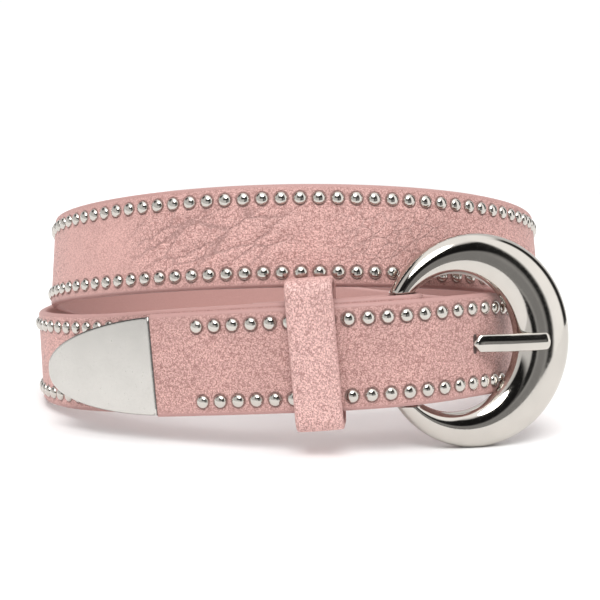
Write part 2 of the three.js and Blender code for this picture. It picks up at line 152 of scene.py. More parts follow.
def linear(hex_colour):
    """Linear colour with alpha of an sRGB hex colour such as "#c0a0a0"."""
    srgb = np.array([int(hex_colour[i:i + 2], 16) for i in (1, 3, 5)]) / 255
    low = srgb / 12.92
    high = ((srgb + 0.055) / 1.055) ** 2.4
    return (*np.where(srgb <= 0.04045, low, high).tolist(), 1.0)


def length(name, description, millimetres):
    """A length property whose default is given in millimetres."""
    default = millimetres * MM
    return FloatProperty(name=name, description=description, default=default, unit="LENGTH")


def hex_tone(name, description, hex_colour):
    """A colour property whose default is given as an sRGB hex colour."""
    return FloatVectorProperty(
        name=name,
        description=description,
        default=linear(hex_colour)[:3],
        subtype="COLOR",
        size=3,
        min=0,
        max=1,
    )


class StrapSizes(PropertyGroup):
    """Sizes of the strap and of its studs"""

    coil_radius: length("Coil radius", "Radius that the centre line's shares refer to", 75)
    width: length("Width", "Width of the strap", 29.6)
    thickness: length("Thickness", "Thickness of the strap", 2.9)
    edge_round: length("Edge round", "Radius of the painted edges", 1.25)
    layer_gap: length("Layer gap", "Gap between layers that lie on each other", 0.4)
    fold_length: length("Fold length", "Length of the layer folded back behind the bar", 46)
    fold_taper: length("Fold taper", "Stretch over which the fold's layers close up", 16)
    stud_radius: length("Stud radius", "Radius of a stud", 1.95)
    stud_height: length("Stud height", "How far a stud stands out of the leather", 1.2)
    stud_pitch: length("Stud pitch", "From one stud to the next in a row", 5.32)
    stud_inset: length("Stud inset", "From the strap's edge to the middle of a row", 4.17)
    first_stud: length("First stud", "From the cap's mouth to the first stud", 15.31)


class BuckleSizes(PropertyGroup):
    """Sizes of the buckle's frame, bar and prong"""

    bar_radius: length("Bar radius", "Radius of the bar in the fold", 2)
    inner_centre: length("Inner centre", "From the bar to the middle of the opening", 14.3)
    inner_length: length("Inner length", "Half length of the opening", 18.9)
    inner_height: length("Inner height", "Half height of the opening", 19.9)
    outer_centre: length("Outer centre", "From the bar to the middle of the outline", 21.0)
    outer_length: length("Outer length", "Half length of the outline", 29.5)
    outer_height: length("Outer height", "Half height of the outline", 31.0)
    front_depth: length("Front depth", "How far the dome stands in front of the bar's middle", 4.7)
    back_depth: length("Back depth", "How far it stands behind it", 3.7)
    horn_clearance: length("Horn clearance", "From the strap's edge to a horn's flat end", 1.5)
    prong_width: length("Prong width", "Width of the prong", 5.1)
    prong_thickness: length("Prong thickness", "Thickness of the prong", 2.6)
    prong_length: length("Prong length", "From the bar to the prong's far end", 42.4)
    prong_corner: length("Prong corner", "Radius of the corners of the prong's ends", 1.3)
    prong_reach: length("Prong reach", "How far its end stands in front of the bar", 4.2)
    prong_droop: length("Prong droop", "How far its end hangs below the bar's middle", 0.85)


class TrimSizes(PropertyGroup):
    """Sizes of the keeper and of the tip cap"""

    keeper_width: length("Keeper width", "Width of the keeper along the strap", 13.2)
    keeper_wall: length("Keeper wall", "Thickness of the keeper's leather", 1.8)
    keeper_above: length("Keeper above", "Free height over the strap inside the keeper", 4.6)
    keeper_below: length("Keeper below", "Free height under the strap inside the keeper", 3.3)
    keeper_corner: length("Keeper corner", "Inner radius of the keeper's corners", 2.4)
    cap_length: length("Cap length", "Length of the tip cap", 35.5)
    cap_height: length("Cap height", "Height of the cap at its mouth", 28.4)
    cap_thickness: length("Cap thickness", "Thickness of the cap over its tongue", 4.0)


class BeltColours(PropertyGroup):
    """Colours of the leather and the metal, linear"""

    leather: hex_tone("Leather", "Grain side of the strap", "#c89d96")
    edge_paint: hex_tone("Edge paint", "Paint on the strap's cut edges", "#b88f8a")
    flesh_side: hex_tone("Flesh side", "Plain inner side of the strap", "#b88e88")
    keeper: hex_tone("Keeper", "Grain side of the keeper", "#c9a29c")
    nickel: hex_tone("Nickel", "Polished plate of buckle and studs", "#c8c3bc")
    cap: hex_tone("Cap", "Satin plate of the tip cap", "#cecbc6")


# Shapes


def natural_spline(knots, values):
    """Natural cubic spline: between two knots a cubic, whose second slopes match its neighbours'
    and are zero at both ends. Returns a function of an array."""
    step = np.diff(knots)
    slope = np.diff(values) / step
    inner = len(knots) - 2
    matrix = np.diag(2 * (step[:-1] + step[1:])) + np.diag(step[1:-1], 1) + np.diag(step[1:-1], -1)
    second = np.zeros(len(knots))
    second[1:inner + 1] = np.linalg.solve(matrix, 6 * np.diff(slope))

    def at(places):
        i = np.clip(np.searchsorted(knots, places, side="right") - 1, 0, len(knots) - 2)
        a = (knots[i + 1] - places) / step[i]
        b = 1 - a
        bend = (a**3 - a) * second[i] + (b**3 - b) * second[i + 1]
        return a * values[i] + b * values[i + 1] + bend * step[i]**2 / 6

    return at


class CentreLine:
    """The strap's centre line and its own axes at any turn, in metres in the model's frame."""

    def __init__(self, strap, buckle):
        turn, radius, lift, climb, lean = COIL_ROWS.T
        tilt = np.radians(BUCKLE_TILT + BAR_TILT)
        rise = buckle.outer_centre * np.sin(tilt)
        buckle_lift = buckle.outer_height - strap.width / 2 - rise
        radius = radius * strap.coil_radius
        height = strap.width / 2 + lift * buckle_lift + climb * (strap.width + buckle_lift)
        tip = [natural_spline(turn, row) for row in (radius, height, lean)]
        self.layer = strap.thickness + strap.layer_gap
        under = UNDER_TURNS
        turn = np.append(turn, under + 2 * FULL_TURN)
        radius = np.append(radius, tip[0](under) - self.layer)
        height = np.append(height, tip[1](under) + UNDER_RISE)
        lean = np.append(lean, tip[2](under))
        self.radius, self.height, self.lean = (
            natural_spline(turn, row)
            for row in (radius, height, lean)
        )
        self.turns = np.arange(MOUTH_TURN, BAR_TURN + 0.5, 0.5)
        steps = np.linalg.norm(np.diff(self.point(self.turns), axis=0), axis=1)
        self.lengths = np.append(0, np.cumsum(steps))
        self.end = self.length_at(BAR_TURN)

    def point(self, turn):
        """Radius and turn round the axis give x and y, the height gives z."""
        angle = np.radians(turn)
        radius = self.radius(turn)
        flat = np.stack([radius * np.sin(angle), -radius * np.cos(angle), self.height(turn)], -1)
        return flat + AXIS_PLACE * MM

    def axes(self, turn):
        """Centre, along, out and up: along is the tangent, out its level normal, and both out
        and up are turned about along by the lean."""
        turn = np.asarray(turn, float)
        reach = 0.25
        along = self.point(turn + reach) - self.point(turn - reach)
        along /= np.linalg.norm(along, axis=-1, keepdims=True)
        level = np.stack([along[..., 1], -along[..., 0], np.zeros_like(turn)], -1)
        level /= np.linalg.norm(level, axis=-1, keepdims=True)
        upright = np.cross(level, along)
        lean = np.radians(self.lean(turn))[..., None]
        up = np.cos(lean) * upright + np.sin(lean) * level
        out = np.cos(lean) * level - np.sin(lean) * upright
        return self.point(turn), along, out, up

    def length_at(self, turn):
        return np.interp(turn, self.turns, self.lengths)

    def turn_at(self, length):
        return np.interp(length, self.lengths, self.turns)


def leaned(along, up, degrees):
    """Both axes turned in their own plane, the first one towards the second."""
    angle = np.radians(degrees)
    turned = np.cos(angle) * along + np.sin(angle) * up
    return turned, np.cos(angle) * up - np.sin(angle) * along


def rounded_section(half_thickness, half_width, radius, corner_points=6, face_points=9):
    """Ring of (out, up) pairs round an oblong with quarter-circle corners. It starts at the
    middle of the inner face and runs up it, over the upper edge, down the outer face and
    back under, so that each ring turns the right way for faces that point outwards."""
    radius = np.minimum(radius, 0.98 * half_thickness)
    quarter = np.linspace(0, np.pi / 2, corner_points)
    flat = half_width - radius
    deep = half_thickness - radius
    side = np.linspace(flat, -flat, face_points)[1:-1]
    half = face_points // 2
    start = side[half - 1:]
    upper_in = (-deep - radius * np.cos(quarter), flat + radius * np.sin(quarter))
    upper_out = (deep + radius * np.sin(quarter), flat + radius * np.cos(quarter))
    lower_out = (deep + radius * np.cos(quarter), -flat - radius * np.sin(quarter))
    lower_in = (-deep - radius * np.sin(quarter), -flat - radius * np.cos(quarter))
    inner_up = (np.full(len(start), -half_thickness), -start)
    outer = (np.full(len(side), half_thickness), side)
    inner_low = (np.full(half - 1, -half_thickness), -side[:half - 1])
    parts = (inner_up, upper_in, upper_out, outer, lower_out, lower_in, inner_low)
    return np.concatenate([np.stack(part, -1) for part in parts])


def carried(section, centre, out, up):
    """Section points laid in the plane of out and up at each centre: centre + a out + b up."""
    section = np.broadcast_to(section, (len(centre),) + section.shape[-2:])
    return centre[:, None] + section[..., :1] * out[:, None] + section[..., 1:] * up[:, None]


def new_piece(name, points, faces, uv=None, smooth=True):
    """An object at the origin with these points and faces. uv holds a pair for each face corner."""
    mesh = bpy.data.meshes.new(name)
    mesh.from_pydata(points, [], faces)
    mesh.polygons.foreach_set("use_smooth", np.array([smooth and len(face) < 5 for face in faces]))
    if uv is not None:
        mesh.uv_layers.new(name="Surface").data.foreach_set(
            "uv", np.asarray(uv, np.float32).ravel()
        )
    mesh.update()
    piece = bpy.data.objects.new(name, mesh)
    bpy.context.scene.collection.objects.link(piece)
    return piece


def ring_grid(rings, ends=True):
    """Faces between neighbouring rings of equal, closed point rows, the first going
    anticlockwise seen along the growth, and a flat face over each end."""
    rows, count = rings.shape[:2]
    ring, side = np.meshgrid(np.arange(rows - 1), np.arange(count), indexing="ij")
    a = ring * count + side
    b = ring * count + (side + 1) % count
    faces = np.stack([a, b, b + count, a + count], -1).reshape(-1, 4).tolist()
    if ends:
        faces.append(list(range(count))[::-1])
        faces.append(list(range((rows - 1) * count, rows * count)))
    return rings.reshape(-1, 3), faces


def turned_outwards(points, faces):
    """The faces, all reversed if the volume that they enclose comes out negative."""
    quads = np.array([face for face in faces if len(face) == 4])
    p = points - points.mean(0)
    a, b, c, d = (p[quads[:, i]] for i in range(4))
    volume = (a * np.cross(b, c)).sum() + (a * np.cross(c, d)).sum()
    return faces if volume > 0 else [face[::-1] for face in faces]


def closed_grid(rings):
    """Quads between neighbouring rings when the last ring also joins the first, and the ring
    and point numbers of each quad's corners."""
    rows, count = rings.shape[:2]
    ring, side = np.meshgrid(np.arange(rows), np.arange(count), indexing="ij")
    corners = [(ring, side), (ring, side + 1), (ring + 1, side + 1), (ring + 1, side)]
    faces = np.stack([(r % rows) * count + s % count for r, s in corners], -1)
    return faces.reshape(-1, 4), corners


# Materials


def add_node(tree, kind, settings=None, inputs=None):
    """A node with its settings, and each input set to a value or linked to an output."""
    node = tree.nodes.new(kind)
    for name, value in (settings or {}).items():
        setattr(node, name, value)
    for socket, value in (inputs or {}).items():
        if isinstance(value, bpy.types.NodeSocket):
            tree.links.new(value, node.inputs[socket])
        else:
            node.inputs[socket].default_value = value
    return node


def new_material(name):
    """An empty node material with its output, and the tree and the output node."""
    material = bpy.data.materials.new(name)
    material.use_nodes = True
    tree = material.node_tree
    tree.nodes.clear()
    return material, tree, tree.nodes.new("ShaderNodeOutputMaterial")


def ramp(tree, value, low, high, to_low=0.0, to_high=1.0):
    """Smooth step of a value from low to high."""
    return add_node(
        tree, "ShaderNodeMapRange", {"interpolation_type": "SMOOTHSTEP"},
        {0: value, 1: low, 2: high, 3: to_low, 4: to_high},
    ).outputs[0]


def arithmetic(tree, operation, first, second=0.0):
    return add_node(
        tree, "ShaderNodeMath", {"operation": operation}, {0: first, 1: second}
    ).outputs[0]


def mixed(tree, share, first, second, blend="MIX"):
    return add_node(
        tree, "ShaderNodeMix", {"data_type": "RGBA", "blend_type": blend},
        {0: share, 6: first, 7: second},
    ).outputs[2]


def mixed_value(tree, share, first, second):
    return add_node(
        tree, "ShaderNodeMix", {"data_type": "FLOAT"}, {0: share, 2: first, 3: second}
    ).outputs[0]


def stretch(tree, value, start, end, soft=9.0):
    """One between two lengths along the strap, falling to nothing over a few millimetres."""
    return arithmetic(
        tree, "MULTIPLY", ramp(tree, value, start - soft, start + soft),
        ramp(tree, value, end - soft, end + soft, 1.0, 0.0),
    )


def grained_leather(name, leather, colours, sizes, line, hole=None):
    """Chrome-tanned cowhide with a pigmented finish and a milled grain: fine pebbles, satin,
    with painted edges and a plain, duller flesh side, painted darker on the lower turn and lighter
    on the upper. With a hole it is the strap's, and also has the hide's folds and a net of fine
    cracks in some places with painted shade in the folds and creases, the print of the studs
    with a painted shadow round each, and the hole at this place with this half height, painted
    dark round the prong as its shade."""
    material, tree, output = new_material(name)
    surface = add_node(tree, "ShaderNodeUVMap", {"uv_map": "Surface"}).outputs[0]
    millimetres = add_node(
        tree, "ShaderNodeVectorMath", {"operation": "SCALE"}, {0: surface, 3: 1 / MM}
    ).outputs[0]
    edge = add_node(tree, "ShaderNodeAttribute", {"attribute_name": "edge"}).outputs["Fac"]
    inner = add_node(tree, "ShaderNodeAttribute", {"attribute_name": "inner"}).outputs["Fac"]

    def noise(vector, size, detail=2.0, **inputs):
        """Noise whose features are about this many millimetres apart."""
        return add_node(
            tree, "ShaderNodeTexNoise", {},
            {"Vector": vector, "Scale": 1 / size, "Detail": detail, **inputs},
        ).outputs["Fac"]

    def shade(value):
        return (*[min(1.0, c * value) for c in leather], 1.0)

    # Pebbles about 0.7 mm across with darker valleys, and pores half that size
    split = add_node(tree, "ShaderNodeSeparateXYZ", {}, {0: millimetres})
    pebble = add_node(
        tree, "ShaderNodeTexVoronoi", {"feature": "F1"}, {"Vector": millimetres, "Scale": 1 / 0.7}
    ).outputs["Distance"]
    pores = noise(millimetres, 0.36, 1.0, Roughness=0.6)
    speckle = arithmetic(
        tree, "ADD", arithmetic(tree, "MULTIPLY", pebble, 0.35),
        arithmetic(tree, "MULTIPLY", pores, 1.0),
    )
    speckle = ramp(tree, speckle, 0.42, 0.92)
    if hole:
        smooth = arithmetic(tree, "MULTIPLY", stretch(tree, split.outputs[0], *SMOOTH_STRETCH), 0.5)
        speckle = mixed_value(tree, smooth, speckle, 0.5)
    # Painted shade and light: the hide is darker towards the tip, on the lower turn, and lighter towards the
    # buckle's end, on the upper turn. It is also clouded
    colour = mixed(tree, ramp(tree, split.outputs[0], 150.0, 480.0), shade(0.93), shade(1.08))
    cloud = ramp(tree, noise(millimetres, 14.0, 4.0), 0.3, 0.7, 0.95, 1.05)
    colour = add_node(
        tree, "ShaderNodeVectorMath", {"operation": "SCALE"}, {0: colour, 3: cloud}
    ).outputs[0]
    light, dark = [
        mixed(tree, 1.0, colour, (*tint, 1.0), "MULTIPLY")
        for tint in ((1.42, 1.5, 1.52), (0.60, 0.51, 0.50))
    ]
    colour = mixed(tree, speckle, light, dark)
    height = arithmetic(tree, "MULTIPLY", speckle, -0.14)

    if hole:
        # Folds and a net of cracks are the borders of wandering cells: long cells about 5 mm
        # wide that run up to the right for the folds, and shorter ones 3.5 mm wide for the cracks
        drift = add_node(
            tree, "ShaderNodeTexNoise", {}, {"Vector": millimetres, "Scale": 1 / 4.0, "Detail": 4.0}
        ).outputs["Color"]

        def borders(turn, cell, squeeze, wander, width):
            """The cells' borders, from one to nothing over the width, and their insides."""
            bent = add_node(
                tree, "ShaderNodeVectorMath", {"operation": "MULTIPLY_ADD"},
                {0: drift, 1: (wander, wander, 0.0), 2: millimetres},
            ).outputs[0]
            bent = add_node(
                tree, "ShaderNodeMapping", {"vector_type": "TEXTURE"},
                {
                    "Vector": bent, "Rotation": (0, 0, np.radians(turn)),
                    "Scale": (1 / squeeze, 1.0, 1.0),
                },
            ).outputs[0]
            far = add_node(
                tree, "ShaderNodeTexVoronoi", {"feature": "DISTANCE_TO_EDGE"},
                {"Vector": bent, "Scale": 1 / cell},
            ).outputs["Distance"]
            return ramp(tree, far, 0.0, width, 1.0, 0.0), ramp(tree, far, 0.0, 0.45)

        fold, swell = borders(-27, 5.0, 0.3, 3.0, 0.07)
        crease = borders(-20, 2.4, 0.6, 2.0, 0.1)[0]
        crack = borders(-38, 3.4, 0.62, 2.6, 0.09)[0]
        # Where they show: strongly in the middle of the upper turn, elsewhere in patches
        patch = ramp(tree, noise(millimetres, 30.0, 1.0), 0.5, 0.68)
        middle = ramp(tree, arithmetic(tree, "ABSOLUTE", split.outputs[1]), 5.0, 11.5, 1.0, 0.0)
        fold_share, crack_share = [
            arithmetic(
                tree, "MAXIMUM",
                arithmetic(tree, "MULTIPLY", stretch(tree, split.outputs[0], *limits), middle),
                arithmetic(tree, "MULTIPLY", patch, elsewhere),
            )
            for limits, elsewhere in ((FOLD_STRETCH, 0.3), (CRACK_STRETCH, 0.2))
        ]
        crease = arithmetic(tree, "MULTIPLY", arithmetic(tree, "MULTIPLY", crease, fold_share), 0.5)
        fold = arithmetic(tree, "MULTIPLY", fold, fold_share)
        crack = arithmetic(
            tree, "MAXIMUM", arithmetic(tree, "MULTIPLY", crack, crack_share), crease
        )
        height = arithmetic(
            tree, "ADD", height,
            arithmetic(tree, "MULTIPLY", arithmetic(tree, "MULTIPLY", swell, fold_share), 1.2),
        )
        height = arithmetic(tree, "SUBTRACT", height, arithmetic(tree, "MULTIPLY", fold, 0.3))
        height = arithmetic(tree, "SUBTRACT", height, arithmetic(tree, "MULTIPLY", crack, 0.25))
        # Painted shade: the fold lines, and the fine creases along them, are darkened where shade falls in
        # them; the cracks are darkened in the same step
        colour = mixed(tree, arithmetic(tree, "MULTIPLY", fold, 0.5), colour, shade(0.5))
        colour = mixed(tree, arithmetic(tree, "MULTIPLY", crack, 0.42), colour, shade(0.45))

        # Each stud presses a shallow ring into the leather, and the ring is darkened as a painted contact
        # shadow round the stud
        pitch = sizes.stud_pitch / MM
        row = (sizes.width / 2 - sizes.stud_inset) / MM
        along = arithmetic(
            tree, "ADD", split.outputs[0], (0.5 * sizes.stud_pitch - sizes.first_stud) / MM
        )
        along = arithmetic(
            tree, "SUBTRACT", arithmetic(tree, "FLOORED_MODULO", along, pitch), pitch / 2
        )
        across = arithmetic(tree, "SUBTRACT", arithmetic(tree, "ABSOLUTE", split.outputs[1]), row)
        far = arithmetic(
            tree, "SQRT",
            arithmetic(
                tree, "ADD", arithmetic(tree, "MULTIPLY", along, along),
                arithmetic(tree, "MULTIPLY", across, across),
            ),
        )
        ring = ramp(tree, far, sizes.stud_radius / MM, sizes.stud_radius / MM + 0.45, 1.0, 0.0)
        first = sizes.first_stud / MM - 2
        last = line.length_at(LAST_STUD_TURN) / MM
        ring = arithmetic(
            tree, "MULTIPLY", ring, arithmetic(tree, "GREATER_THAN", split.outputs[0], first)
        )
        ring = arithmetic(
            tree, "MULTIPLY", ring, arithmetic(tree, "LESS_THAN", split.outputs[0], last)
        )
        ring = arithmetic(tree, "MULTIPLY", ring, arithmetic(tree, "SUBTRACT", 1.0, inner))
        height = arithmetic(tree, "SUBTRACT", height, arithmetic(tree, "MULTIPLY", ring, 0.4))
        colour = mixed(tree, arithmetic(tree, "MULTIPLY", ring, 0.75), colour, shade(0.3))

        # The hole is an upright oblong with rounded corners, a little larger than the prong, painted dark as
        # the shade in the hole round the prong
        beside, under, half_height = hole
        far = 0.0
        for value, middle_place, half in (
            (split.outputs[0], beside, 0.8), (split.outputs[1], under, half_height + 0.4)
        ):
            share = arithmetic(
                tree, "MULTIPLY", arithmetic(tree, "SUBTRACT", value, middle_place), 1 / half
            )
            far = arithmetic(
                tree, "ADD", arithmetic(tree, "POWER", arithmetic(tree, "ABSOLUTE", share), 4.0),
                far,
            )
        painted_hole_shade = ramp(tree, far, 0.6, 1.1, 1.0, 0.0)
        colour = mixed(
            tree, arithmetic(tree, "MULTIPLY", painted_hole_shade, arithmetic(tree, "SUBTRACT", 1.0, inner)),
            colour, shade(0.15),
        )

    # The flesh side has hardly any grain, the painted edge none
    flesh = mixed(
        tree, arithmetic(tree, "MULTIPLY", speckle, 0.25), (*colours.flesh_side, 1),
        (*[0.75 * c for c in colours.flesh_side], 1),
    )
    colour = mixed(tree, inner, colour, flesh)
    colour = mixed(tree, edge, colour, (*colours.edge_paint, 1))
    cover = arithmetic(
        tree, "SUBTRACT", 1.0,
        arithmetic(tree, "MAXIMUM", edge, arithmetic(tree, "MULTIPLY", inner, 0.75)),
    )
    height = arithmetic(tree, "MULTIPLY", height, cover)
    bump = add_node(
        tree, "ShaderNodeBump", {}, {"Strength": 1.0, "Distance": 0.5 * MM, "Height": height}
    )
    shader = add_node(
        tree, "ShaderNodeBsdfPrincipled", {},
        {
            "Base Color": colour, "Roughness": ramp(tree, pores, 0.3, 0.7, 0.46, 0.6), "IOR": 1.45,
            "Normal": bump.outputs[0],
        },
    )
    tree.links.new(shader.outputs[0], output.inputs[0])
    return material


def plated_metal(name, colour, roughness, scratch=0.05, grain=1.2, rim=0.0):
    """Zinc alloy, die cast, polished and nickel plated: a warm grey mirror whose shine is broken
    by faint rubbing marks, whose spacing in millimetres is grain. Its rim is painted dark, as
    painted shade and dark reflection, by the share that rim gives."""
    material, tree, output = new_material(name)
    place = add_node(tree, "ShaderNodeTexCoord").outputs["Object"]
    rub = add_node(
        tree, "ShaderNodeTexNoise", {}, {"Vector": place, "Scale": 1 / (grain * MM), "Detail": 3.0}
    ).outputs["Fac"]
    cloud = add_node(
        tree, "ShaderNodeTexNoise", {}, {"Vector": place, "Scale": 1 / (8 * MM), "Detail": 2.0}
    ).outputs["Fac"]
    rough = arithmetic(
        tree, "ADD", ramp(tree, rub, 0.35, 0.75, roughness, roughness + scratch),
        arithmetic(tree, "MULTIPLY", cloud, scratch / 2),
    )
    tint = mixed(
        tree, ramp(tree, cloud, 0.3, 0.7), (*[c * 0.97 for c in colour], 1),
        (*[min(1, c * 1.02) for c in colour], 1),
    )
    # Painted shade and dark reflection: the rim is darkened towards black by this share
    if rim:
        painted_rim_shade = add_node(tree, "ShaderNodeAttribute", {"attribute_name": "rim"}).outputs["Fac"]
        tint = mixed(
            tree, arithmetic(tree, "MULTIPLY", painted_rim_shade, rim), tint, (0.03, 0.025, 0.025, 1.0)
        )
    bump = add_node(
        tree, "ShaderNodeBump", {}, {"Strength": 0.05, "Distance": 0.05 * MM, "Height": rub}
    )
    shader = add_node(
        tree, "ShaderNodeBsdfPrincipled", {},
        {"Base Color": tint, "Metallic": 1.0, "Roughness": rough, "Normal": bump.outputs[0]},
    )
    tree.links.new(shader.outputs[0], output.inputs[0])
    return material


# Operators, one for each piece


class BELT_OT_strap(Operator):
    """Leather strap along the whole coil, from the pared tongue in the cap to the fold"""

    bl_idname = "belt.strap"
    bl_label = "Strap leather"

    def execute(self, context):
        scene = context.scene
        sizes, buckle, trim = scene.belt_strap, scene.belt_buckle, scene.belt_trim
        line = CentreLine(sizes, buckle)
        half_t, half_w = sizes.thickness / 2, sizes.width / 2
        section = rounded_section(half_t, half_w, sizes.edge_round)

        # Along the coil a ring for each millimetre
        lengths = np.append(np.arange(0.4 * MM, line.end, 1.0 * MM), line.end)
        centre, along, out, up = line.axes(line.turn_at(lengths))
        coil = carried(section, centre, out, up)

        # The tongue: straight on from the mouth, thinner and within the cap's outline
        mouth = [part[0] for part in line.axes([MOUTH_TURN])]
        back = np.array([0.96, 0.9, 0.8, 0.6, 0.3, 0.02])
        slim = np.stack([
            rounded_section(
                1.05 * MM, max(cap_half_height(share, trim) - 1.4 * MM, 1.2 * MM), 0.7 * MM
            )
            for share in back
        ])
        tongue_centre = mouth[0] - np.outer(back * trim.cap_length, mouth[1])
        tongue = carried(
            slim, tongue_centre, np.tile(mouth[2], (len(back), 1)),
            np.tile(mouth[3], (len(back), 1)),
        )

        # The fold: a half circle round the bar, then back along the inner face, closing up
        fold_radius = buckle.bar_radius + CLEARANCE + half_t
        last = [part[0] for part in line.axes([BAR_TURN])]
        bar = last[0] - fold_radius * last[2]
        angle = np.linspace(0, np.pi, 17)[1:]
        bend_out = np.outer(np.cos(angle), last[2]) + np.outer(np.sin(angle), last[1])
        bend = carried(
            section, bar + fold_radius * bend_out, bend_out, np.tile(last[3], (len(angle), 1))
        )
        back_length = np.arange(1.5 * MM, sizes.fold_length, 1.5 * MM)
        centre2, along2, out2, up2 = line.axes(line.turn_at(line.end - back_length))
        share = np.clip(back_length / sizes.fold_taper, 0, 1)
        closing = share * share * (3 - 2 * share)
        depth = 2 * fold_radius + (line.layer - 2 * fold_radius) * closing
        layer = carried(section, centre2 - depth[:, None] * out2, -out2, up2)

        rings = np.concatenate([tongue, coil, bend, layer])
        points, faces = ring_grid(rings)
        faces = turned_outwards(points, faces)

        # Along and across in metres for each corner, the seam in the middle of the inner face
        count = len(section)
        step = np.linalg.norm(np.diff(section, axis=0, append=section[:1]), axis=1)
        across = np.append(0, np.cumsum(step))
        across = across - across[-1] / 2
        u = np.concatenate([
            -back * trim.cap_length, lengths, line.end + angle * fold_radius,
            line.end + np.pi * fold_radius + back_length,
        ])
        corner = np.array([face for face in faces if len(face) == 4])
        ring_index = corner // count
        side = corner % count
        wraps = (side.max(1) == count - 1) & (side.min(1) == 0)
        side = np.where(wraps[:, None] & (side == 0), count, side)
        uv = np.stack([u[ring_index], across[side]], -1).reshape(-1, 2)
        uv = np.concatenate([uv, np.zeros((2 * count, 2))])
        piece = new_piece("strap_leather", points, faces, uv)

        # Masks for the material: the painted edge, and the inner face
        edge = np.clip((np.abs(section[:, 1]) - (half_w - 1.5 * MM)) / (0.7 * MM), 0, 1)
        inner = np.clip(-section[:, 0] / (0.5 * half_t), 0, 1)
        for label, mask in (("edge", edge), ("inner", inner)):
            attribute = piece.data.attributes.new(label, "FLOAT", "POINT")
            attribute.data.foreach_set("value", np.tile(mask, len(rings)).astype(np.float32))

        hole = (*hole_place(scene, line), scene.belt_buckle.prong_width / 2 / MM)
        piece.data.materials.append(grained_leather(
            "Pigmented cowhide", scene.belt_colours.leather, scene.belt_colours, sizes, line, hole
        ))
        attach(piece, "root")
        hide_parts("strap")
        return {"FINISHED"}


class BELT_OT_studs(Operator):
    """Domed studs in two rows along the strap"""

    bl_idname = "belt.studs"
    bl_label = "Studs"

    def execute(self, context):
        scene = context.scene
        sizes = scene.belt_strap
        line = CentreLine(sizes, scene.belt_buckle)
        places = np.arange(sizes.first_stud, line.length_at(LAST_STUD_TURN), sizes.stud_pitch)
        centre, along, out, up = line.axes(line.turn_at(places))
        row = sizes.width / 2 - sizes.stud_inset
        face = centre + out * (sizes.thickness / 2)
        centre = np.concatenate([face + row * up, face - row * up])
        along, out, up = (np.concatenate([part, part]) for part in (along, out, up))

        # A dome, half of an ellipse turned about its axis, with an upright rim, closed below
        # the leather
        around = 14
        polar = np.radians([88, 66, 44, 22])
        radius = np.append(sizes.stud_radius, sizes.stud_radius * np.sin(polar))
        high = np.append(-0.3 * MM, sizes.stud_height * np.cos(polar))
        turn = np.linspace(0, 2 * np.pi, around, endpoint=False)
        local = np.stack([
            radius[:, None] * np.cos(turn),
            np.broadcast_to(high[:, None], (len(radius), around)),
            radius[:, None] * np.sin(turn),
        ], -1).reshape(-1, 3)
        local = np.concatenate([local, [[0, sizes.stud_height, 0]]])
        points = (
            centre[:, None]
            + local[:, 0, None] * along[:, None]
            + local[:, 1, None] * out[:, None]
            + local[:, 2, None] * up[:, None]
        )
        ring, side = np.meshgrid(np.arange(len(radius) - 1), np.arange(around), indexing="ij")
        a = ring * around + side
        b = ring * around + (side + 1) % around
        quads = np.stack([a, a + around, b + around, b], -1).reshape(-1, 4)
        last = (len(radius) - 1) * around
        spokes = np.arange(around)
        tip = np.stack(
            [last + spokes, np.full(around, len(local) - 1), last + (spokes + 1) % around], -1
        )
        shift = (np.arange(len(centre)) * len(local))[:, None, None]
        faces = (quads + shift).reshape(-1, 4).tolist() + (tip + shift).reshape(-1, 3).tolist()
        floor = np.arange(around)
        base = (floor[None] + shift[:, 0]).tolist()
        piece = new_piece("strap_studs", points.reshape(-1, 3), faces + base)
        piece.data.materials.append(plated_metal(
            "Nickel-plated stud", scene.belt_colours.nickel, 0.13, 0.06, 0.8
        ))
        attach(piece, "root")
        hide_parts("strap")
        return {"FINISHED"}


